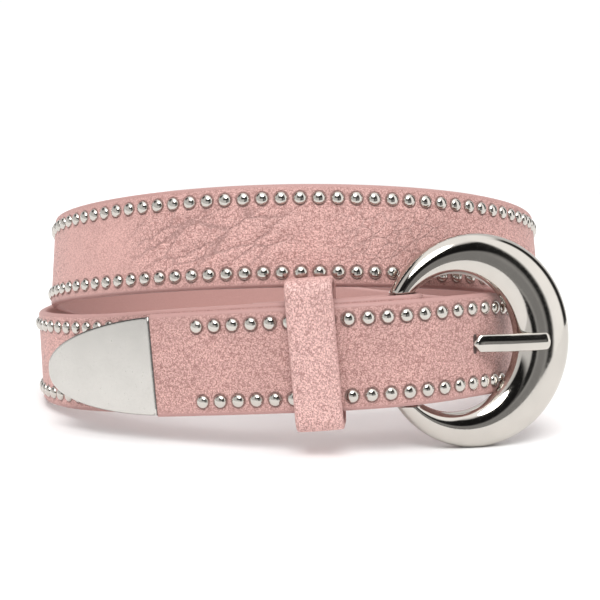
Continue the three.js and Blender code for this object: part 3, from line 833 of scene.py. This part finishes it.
class BELT_OT_keeper(Operator):
    """Plain leather loop round the layers of the strap"""

    bl_idname = "belt.keeper"
    bl_label = "Keeper"

    def execute(self, context):
        scene = context.scene
        sizes, strap = scene.belt_trim, scene.belt_strap
        line = CentreLine(strap, scene.belt_buckle)
        centre, along, out, up = (part[0] for part in line.axes([KEEPER_TURN]))
        along, up = leaned(along, up, KEEPER_SLANT)
        front = strap.thickness / 2 + strap.stud_height + CLEARANCE
        back = -strap.thickness / 2 - 2 * line.layer - 0.6 * MM
        high = strap.width / 2 + sizes.keeper_above + UNDER_RISE
        low = -strap.width / 2 - sizes.keeper_below
        # Middle line of the wall: an oblong with quarter-circle corners
        wall = sizes.keeper_wall
        radius = sizes.keeper_corner + wall / 2
        path = rounded_section((front - back + wall) / 2, (high - low + wall) / 2, radius, 9, 41)
        path = path + np.array([(front + back) / 2, (high + low) / 2])
        tangent = np.roll(path, -1, 0) - np.roll(path, 1, 0)
        tangent /= np.linalg.norm(tangent, axis=1, keepdims=True)
        normal = np.stack([-tangent[:, 1], tangent[:, 0]], -1)
        # The wall's own section: its thickness and width with softly rounded edges
        section = rounded_section(wall / 2, sizes.keeper_width / 2, 0.75 * MM, 5, 9)
        crown = 0.12 * MM * (
            1 - (section[:, 1] / (sizes.keeper_width / 2)) ** 2
        ) * np.sign(section[:, 0])
        ring_out = path[:, None, 0] + normal[:, None, 0] * (section[:, 0] + crown)
        ring_up = path[:, None, 1] + normal[:, None, 1] * (section[:, 0] + crown)
        rings = (
            centre
            + ring_out[..., None] * out
            + ring_up[..., None] * up
            + np.broadcast_to(section[:, 1], ring_out.shape)[..., None] * along
        )
        faces, corners = closed_grid(rings)
        along_path = np.append(0, np.cumsum(np.linalg.norm(np.roll(path, -1, 0) - path, axis=1)))
        step = np.linalg.norm(np.diff(section, axis=0, append=section[:1]), axis=1)
        across = np.append(0, np.cumsum(step))
        across = across - across[-1] / 2
        uv = np.stack(
            [np.stack([along_path[r], across[s]], -1) for r, s in corners], -2
        ).reshape(-1, 4, 2)
        points = rings.reshape(-1, 3)
        outward = turned_outwards(points, faces.tolist())
        if outward[0] != faces[0].tolist():
            uv = uv[:, ::-1]
        piece = new_piece("keeper_loop", points, outward, uv.reshape(-1, 2) + 3.0)
        outer = np.sign(((path - path.mean(0)) * normal).sum(1).mean())
        edge = np.clip(
            (np.abs(section[:, 1]) - (sizes.keeper_width / 2 - 0.7 * MM)) / (0.5 * MM), 0, 1
        )
        inner = np.clip(-outer * section[:, 0] / (0.25 * wall), 0, 1)
        for label, mask in (("edge", edge * 0.5), ("inner", inner)):
            attribute = piece.data.attributes.new(label, "FLOAT", "POINT")
            attribute.data.foreach_set("value", np.tile(mask, len(path)).astype(np.float32))
        piece.data.materials.append(grained_leather(
            "Pigmented cowhide of the keeper", scene.belt_colours.keeper, scene.belt_colours, strap,
            line,
        ))
        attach(piece, "root")
        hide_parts("keeper")
        return {"FINISHED"}


def bar_axes(scene):
    """Centre, along, out and up of the buckle's bar, which lies in the strap's fold."""
    line = CentreLine(scene.belt_strap, scene.belt_buckle)
    centre, along, out, up = (part[0] for part in line.axes([BAR_TURN]))
    reach = scene.belt_buckle.bar_radius + CLEARANCE + scene.belt_strap.thickness / 2
    lowered = np.array([0, 0, UNDER_RISE])
    return centre - reach * out - lowered, along, out, up


def prong_line(sizes, places):
    """The prong's middle line in the bar's axes at lengths along the buckle: how far out and
    how far up. It is straight between the rows, and each corner is rounded by taking the mean
    over a millimetre."""
    straight = sizes.prong_length - sizes.prong_width / 2
    near = np.asarray(places)[..., None] + np.linspace(-PRONG_SOFT, PRONG_SOFT, 9)
    along = PRONG_ROWS[:, 0] * straight
    out = np.interp(near, along, PRONG_ROWS[:, 1] * sizes.prong_reach).mean(-1)
    up = np.interp(near, along, -PRONG_ROWS[:, 2] * sizes.prong_droop).mean(-1)
    return out, up


def hole_place(scene, line):
    """Where the prong comes out of the strap: length from the cap's mouth and distance below
    the middle, in millimetres."""
    sizes = scene.belt_buckle
    centre, along, out, up = bar_axes(scene)
    place = PRONG_HOLE * sizes.prong_length
    forward, above = prong_line(sizes, place)
    point = centre + place * along + (forward + sizes.prong_thickness / 2) * out + above * up
    turns = np.arange(0, 60, 0.25)
    middle, _, _, tall = line.axes(turns)
    near = np.argmin(np.linalg.norm(middle - point, axis=1))
    return line.length_at(turns[near]) / MM, (middle[near] - point) @ tall[near] / MM


class BELT_OT_buckle(Operator):
    """Heavy domed crescent with flat-ended horns, and the bar between them"""

    bl_idname = "belt.buckle"
    bl_label = "Buckle frame"

    def notched(self, sizes, flat, rise):
        """The front is lowered to a bed a little behind the prong's front where the prong lies
        on it, and comes back to its own height near the prong's outline."""
        out, up = prong_line(sizes, flat[..., 0])
        bed = out + sizes.prong_thickness / 2 - BED_DEPTH
        beside = np.abs(flat[..., 1] - up) - sizes.prong_width / 2 + BED_SIDE
        beyond = flat[..., 0] - sizes.prong_length + BED_END
        out_of = np.clip(np.maximum(beside, beyond) / BED_FADE, 0, 1)
        return np.where(rise > bed, bed + (rise - bed) * out_of, rise)

    def execute(self, context):
        scene = context.scene
        sizes, strap = scene.belt_buckle, scene.belt_strap
        centre, along, out, up = bar_axes(scene)
        along, up = leaned(along, up, BUCKLE_TILT)

        # Inner and outer outline are ellipses, cut level where the strap's edges pass
        horn = strap.width / 2 + sizes.horn_clearance
        inner_end = np.pi - np.arcsin(horn / sizes.inner_height)
        outer_end = np.pi - np.arcsin(horn / sizes.outer_height)
        way = np.linspace(-1, 1, 161)
        way = np.concatenate([[-1, -1, -1], way, [1, 1, 1]])
        shrink = np.ones(len(way))
        shrink[:3] = shrink[-3:][::-1] = (0.86, 0.95, 0.99)
        inner = np.stack(
            [
                sizes.inner_centre + sizes.inner_length * np.cos(inner_end * way),
                sizes.inner_height * np.sin(inner_end * way),
            ],
            -1,
        )
        outer = np.stack(
            [
                sizes.outer_centre + sizes.outer_length * np.cos(outer_end * way),
                sizes.outer_height * np.sin(outer_end * way),
            ],
            -1,
        )
        inset = np.zeros(len(way))
        inset[:3] = (0, 0.12 * MM, 0.35 * MM)
        inset[-3:] = (-0.35 * MM, -0.12 * MM, 0)
        depth = 1 + (0.74 - 1) * way**2

        # The section between them: a rounded oval, a little fuller than an ellipse
        around = 48
        angle = -2 * np.pi * (np.arange(around) + 0.5) / around
        full = 0.92
        across = np.sign(np.cos(angle)) * np.abs(np.cos(angle)) ** full
        deep = np.sign(np.sin(angle)) * np.abs(np.sin(angle)) ** full
        middle = (inner + outer) / 2
        half = (outer - inner) / 2
        reach = np.where(deep > 0, sizes.front_depth, sizes.back_depth) * deep
        flat = middle[:, None] + half[:, None] * across[:, None] * shrink[:, None, None]
        rise = depth[:, None] * shrink[:, None] * reach
        rise = self.notched(sizes, flat, rise)
        height = flat[..., 1] + inset[:, None]
        rings = centre + flat[..., :1] * along + rise[..., None] * out + height[..., None] * up
        points, faces = ring_grid(rings)
        faces = turned_outwards(points, faces)

        # The bar: a round rod from horn to horn
        turn = np.linspace(0, 2 * np.pi, 24, endpoint=False)
        tall = np.array([-1, 1]) * (horn + sizes.bar_radius)
        rod = (
            centre
            + sizes.bar_radius * np.cos(turn)[None, :, None] * along
            + sizes.bar_radius * np.sin(turn)[None, :, None] * out
            + tall[:, None, None] * up
        )
        rod_points, rod_faces = ring_grid(rod)
        rod_faces = turned_outwards(rod_points, rod_faces)
        shift = len(points)
        faces = faces + [[i + shift for i in face] for face in rod_faces]
        piece = new_piece("buckle_crescent", np.concatenate([points, rod_points]), faces)
        piece.data.materials.append(plated_metal(
            "Polished nickel plate", scene.belt_colours.nickel, 0.06, 0.04
        ))
        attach(piece, "root")
        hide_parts("buckle_frame")
        return {"FINISHED"}


class BELT_OT_prong(Operator):
    """Prong from its ring round the bar, through the strap, to its rounded end on the frame"""

    bl_idname = "belt.prong"
    bl_label = "Prong"

    def execute(self, context):
        scene = context.scene
        sizes, strap = scene.belt_buckle, scene.belt_strap
        centre, along, out, up = bar_axes(scene)
        # The middle line from the bar to where the far corners' rounding starts, then straight on.
        # The same rounding narrows the prong where it comes out of the strap's hole
        straight = sizes.prong_length - sizes.prong_corner
        turn = np.linspace(0, np.pi / 2, 12)[1:]
        start = sizes.bar_radius + CLEARANCE
        places = np.concatenate([
            np.linspace(start, straight, PRONG_POINTS), straight + sizes.prong_corner * np.sin(turn)
        ])
        narrow = 1 - sizes.prong_corner / (sizes.prong_width / 2)
        from_hole = np.clip((places - PRONG_HOLE * sizes.prong_length) / sizes.prong_corner, 0, 1)
        share = narrow + (1 - narrow) * np.sqrt(1 - (1 - from_hole) ** 2)
        share[160:] = narrow + (1 - narrow) * np.cos(turn)
        forward, above = prong_line(sizes, places)
        middle = centre + places[:, None] * along + forward[:, None] * out + above[:, None] * up
        way = np.gradient(middle, axis=0)
        way /= np.linalg.norm(way, axis=1, keepdims=True)
        face = np.cross(way, up)
        face /= np.linalg.norm(face, axis=1, keepdims=True)
        tall = np.cross(face, way)

        # The section is a rounded bar whose front has two bevels that meet in a low ridge
        around = 32
        angle = -2 * np.pi * (np.arange(around) + 0.5) / around
        wide = np.sign(np.cos(angle)) * np.abs(np.cos(angle)) ** 0.7
        deep = np.sin(angle)
        deep = np.where(
            deep > 0, np.abs(deep) ** 0.5 * (1 - 0.42 * np.abs(wide)), -np.abs(deep) ** 0.6
        )
        thin = np.where(places > straight, share, 1.0) ** 0.8
        rings = (
            middle[:, None]
            + (deep * sizes.prong_thickness / 2)[None, :, None] * (thin[:, None] * face)[:, None]
            + (wide * sizes.prong_width / 2)[None, :, None] * (share[:, None] * tall)[:, None]
        )
        points, faces = ring_grid(rings)
        faces = turned_outwards(points, faces)

        # The ring round the bar
        inner = sizes.bar_radius + CLEARANCE
        outer = inner + strap.thickness - 0.4 * MM
        band = rounded_section(
            (outer - inner) / 2, sizes.prong_width / 2 - 0.2 * MM, 0.5 * MM, 4, 3
        )
        spin = np.linspace(0, 2 * np.pi, 32, endpoint=False)
        radial = np.outer(np.cos(spin), along) + np.outer(np.sin(spin), out)
        hoop = carried(
            band, centre + (inner + outer) / 2 * radial, radial, np.tile(up, (len(spin), 1))
        )
        hoop_faces = turned_outwards(hoop.reshape(-1, 3), closed_grid(hoop)[0].tolist())
        shift = len(points)
        faces = faces + [[i + shift for i in face] for face in hoop_faces]
        piece = new_piece("prong_bar", np.concatenate([points, hoop.reshape(-1, 3)]), faces)
        piece.data.materials.append(plated_metal(
            "Polished nickel plate of the prong", scene.belt_colours.nickel, 0.08, 0.04
        ))
        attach(piece, "root")
        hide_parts("prong")
        return {"FINISHED"}


def cap_half_height(share, sizes):
    """Half the cap's height at a share of its length: full at the mouth, falling ever faster
    to nothing at the tip, by (1 - share^1.68)^(1/2.4)."""
    return sizes.cap_height / 2 * np.maximum(1 - np.asarray(share) ** 1.68, 0) ** (1 / 2.4)


class BELT_OT_tip_cap(Operator):
    """Flat bullet-shaped metal sleeve over the tip, with softly rounded rims"""

    bl_idname = "belt.tip_cap"
    bl_label = "Tip cap"

    def execute(self, context):
        scene = context.scene
        sizes = scene.belt_trim
        line = CentreLine(scene.belt_strap, scene.belt_buckle)
        centre, along, out, up = (part[0] for part in line.axes([MOUTH_TURN]))
        out = np.cross(along, up)
        centre = centre + CAP_OVERLAP * along

        # Outline: mouth, upper curve to the tip, and the same mirrored below
        angle = np.linspace(0, np.pi / 2, 70)
        share = np.sin(angle)
        upper = np.stack(
            [-(sizes.cap_length + CAP_OVERLAP) * share, cap_half_height(share, sizes)], -1
        )
        lower = upper[::-1][1:] * np.array([1, -1])
        mouth = np.linspace(1, -1, 15)[1:-1, None] * np.array([0, -sizes.cap_height / 2])
        outline = np.concatenate([upper, lower, mouth])
        tangent = np.roll(outline, -1, 0) - np.roll(outline, 1, 0)
        tangent /= np.linalg.norm(tangent, axis=1, keepdims=True)
        normal = np.stack([-tangent[:, 1], tangent[:, 0]], -1)
        inward = -np.sign(((outline - outline.mean(0)) * normal).sum(1).mean())

        # From the back to the front: (inset, height) pairs round a soft rim
        half = sizes.cap_thickness / 2
        rim = 0.75 * MM
        quarter = np.linspace(0, np.pi / 2, 6)
        side = np.stack([rim * (1 - np.cos(quarter)), half - rim + rim * np.sin(quarter)], -1)
        profile = np.concatenate([side[::-1] * np.array([1, -1]), side])
        rings = outline[None] + (inward * profile[:, :1])[..., None] * normal[None]
        rings = centre + rings[..., :1] * along + profile[:, 1][
            :, None, None
        ] * out + rings[..., 1:] * up
        points, faces = ring_grid(rings)
        piece = new_piece("tip_cap_plate", points, turned_outwards(points, faces))
        # The rim is painted dark in the material, as painted shade and dark reflection along the cap's edge
        rim_share = np.repeat(np.abs(profile[:, 1]) < half - 0.35 * rim, outline.shape[0])
        rim_share = np.concatenate([rim_share, np.zeros(len(points) - len(rim_share))])
        shade = piece.data.attributes.new("rim", "FLOAT", "POINT")
        shade.data.foreach_set("value", rim_share.astype(np.float32))
        piece.data.materials.append(plated_metal(
            "Satin nickel plate", scene.belt_colours.cap, 0.2, 0.06, 0.6, rim=0.75
        ))
        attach(piece, "root")
        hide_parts("tip_cap")
        return {"FINISHED"}


class BELT_OT_stage(Operator):
    """Pale floor and backdrop, soft studio lights, and the camera at the photograph's angle"""

    bl_idname = "belt.stage"
    bl_label = "Stage"

    def execute(self, context):
        scene = context.scene
        side = 4.0
        front = -TABLE_FRONT
        corners = np.array([(-side, front, 0), (side, front, 0), (side, side, 0), (-side, side, 0)])
        floor = new_piece("floor", corners, [[0, 1, 2, 3]], smooth=False)
        material, tree, output = new_material("White paper sweep")
        fibre = add_node(
            tree, "ShaderNodeTexNoise", {},
            {
                "Vector": add_node(tree, "ShaderNodeTexCoord").outputs["Object"],
                "Scale": 1 / (3 * MM), "Detail": 2.0,
            },
        ).outputs["Fac"]
        tone = mixed(tree, fibre, linear("#f9f9f9"), linear("#fcfcfc"))
        shader = add_node(
            tree, "ShaderNodeBsdfPrincipled", {}, {"Base Color": tone, "Roughness": 0.65}
        )
        tree.links.new(shader.outputs[0], output.inputs[0])
        floor.data.materials.append(material)

        # A light tent. Bearings are degrees from the front, growing to the right, and heights
        # degrees over level. It is brighter to the right and overhead. Dark are the part over
        # the camera, two stripes to its right with a grey one between them, a flag at the far
        # right and one high up at the left.
        world = bpy.data.worlds.new("Studio tent")
        world.use_nodes = True
        tree = world.node_tree
        way = add_node(
            tree, "ShaderNodeSeparateXYZ", {},
            {0: add_node(tree, "ShaderNodeTexCoord").outputs["Generated"]},
        )
        forward = arithmetic(tree, "MULTIPLY", way.outputs[1], -1.0)
        bearing = arithmetic(tree, "DEGREES", arithmetic(tree, "ARCTAN2", way.outputs[0], forward))
        height = arithmetic(tree, "DEGREES", arithmetic(tree, "ARCSINE", way.outputs[2]))

        def patch(left, right, low, high, soft=3.0):
            """One inside these bearings and heights, falling to nothing over a few degrees."""
            share = ramp(tree, bearing, left - soft, left + soft)
            for value, limit, sides in (
                (bearing, right, (1.0, 0.0)), (height, low, (0.0, 1.0)), (height, high, (1.0, 0.0))
            ):
                share = arithmetic(
                    tree, "MULTIPLY", share, ramp(tree, value, limit - soft, limit + soft, *sides)
                )
            return share

        tent = mixed(tree, patch(53, 90, -20, 60), (0.82, 0.82, 0.82, 1.0), (1.4, 1.4, 1.4, 1.0))
        tent = mixed(tree, ramp(tree, height, 48.0, 62.0), tent, (1.35, 1.35, 1.35, 1.0))
        for share, level in (
            (patch(-36, 50, 9, 47, 5.0), 0.012),
            (patch(7, 22, -30, 11), 0.02),
            (patch(22, 42, -30, 11, 5.0), 0.3),
            (patch(42, 52, -30, 46), 0.02),
            (patch(94, 122, -3, 52, 4.0), 0.03),
            (patch(-132, -74, 27, 60, 6.0), 0.06),
        ):
            tent = mixed(tree, share, tent, (level, level, level, 1.0))
        # What the camera sees behind the table is a plain white backdrop
        seen = add_node(tree, "ShaderNodeLightPath").outputs["Is Camera Ray"]
        tree.links.new(
            mixed(tree, seen, tent, (1.02, 1.02, 1.02, 1.0)), tree.nodes["Background"].inputs[0]
        )
        tree.nodes["Background"].inputs[1].default_value = 1.0
        scene.world = world
        scene.view_settings.view_transform = "Standard"

        # The key light stands in front, high over the camera, so shade falls behind the belt
        key = bpy.data.lights.new("key light", "SUN")
        key.energy = 2.15
        key.angle = np.radians(36)
        lamp = bpy.data.objects.new("key light", key)
        lamp.rotation_euler = (np.radians(38), np.radians(-3), 0)
        scene.collection.objects.link(lamp)

        camera = bpy.data.cameras.new("photograph")
        camera.sensor_width = 36
        camera.lens = CAMERA["focal_pixels"] / PHOTO_PIXELS * camera.sensor_width
        camera.clip_start = 0.02
        elevation = np.radians(CAMERA["elevation"])
        back = np.array([0, -np.cos(elevation), np.sin(elevation)])
        right = np.array([1.0, 0, 0])
        up = np.cross(back, right)
        across, upward = leaned(right, up, CAMERA["roll"])
        place = (np.array(CAMERA["target"]) + CAMERA["distance"] * back) * MM
        viewer = bpy.data.objects.new("photograph", camera)
        viewer.matrix_world = placed(across, upward, back, place)
        scene.collection.objects.link(viewer)
        scene.camera = viewer
        return {"FINISHED"}


def placed(x, y, z, place):
    """Matrix with these axes as columns and this place."""
    return Matrix([[*row, offset] for row, offset in zip(np.stack([x, y, z], -1).tolist(), place.tolist())] + [[
        0, 0, 0, 1
    ]])


class BELT_PT_panel(Panel):
    """Buttons for the belt's pieces and the sizes that they take"""

    bl_label = "Studded belt"
    bl_idname = "BELT_PT_panel"
    bl_space_type = "VIEW_3D"
    bl_region_type = "UI"
    bl_category = "Belt"

    def draw(self, context):
        for operator in OPERATORS:
            self.layout.operator(operator.bl_idname)
        for group in ("belt_strap", "belt_buckle", "belt_trim", "belt_colours"):
            settings = getattr(context.scene, group)
            box = self.layout.box()
            for name in settings.bl_rna.properties.keys():
                if name not in ("rna_type", "name"):
                    box.prop(settings, name)


GROUPS = {
    "belt_strap": StrapSizes,
    "belt_buckle": BuckleSizes,
    "belt_trim": TrimSizes,
    "belt_colours": BeltColours,
}
OPERATORS = (
    BELT_OT_strap,
    BELT_OT_studs,
    BELT_OT_keeper,
    BELT_OT_buckle,
    BELT_OT_prong,
    BELT_OT_tip_cap,
    BELT_OT_stage,
)


def register():
    for group in (*GROUPS.values(), *OPERATORS, BELT_PT_panel):
        bpy.utils.register_class(group)
    for name, group in GROUPS.items():
        setattr(bpy.types.Scene, name, PointerProperty(type=group))


def unregister():
    for name in GROUPS:
        delattr(bpy.types.Scene, name)
    for group in reversed((*GROUPS.values(), *OPERATORS, BELT_PT_panel)):
        bpy.utils.unregister_class(group)


def main():
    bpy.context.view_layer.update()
    register()
    bpy.ops.belt.strap()
    bpy.ops.belt.studs()
    bpy.ops.belt.keeper()
    bpy.ops.belt.buckle()
    bpy.ops.belt.prong()
    bpy.ops.belt.tip_cap()
    bpy.ops.belt.stage()
    bpy.context.view_layer.update()


if __name__ == "__main__":
    main()
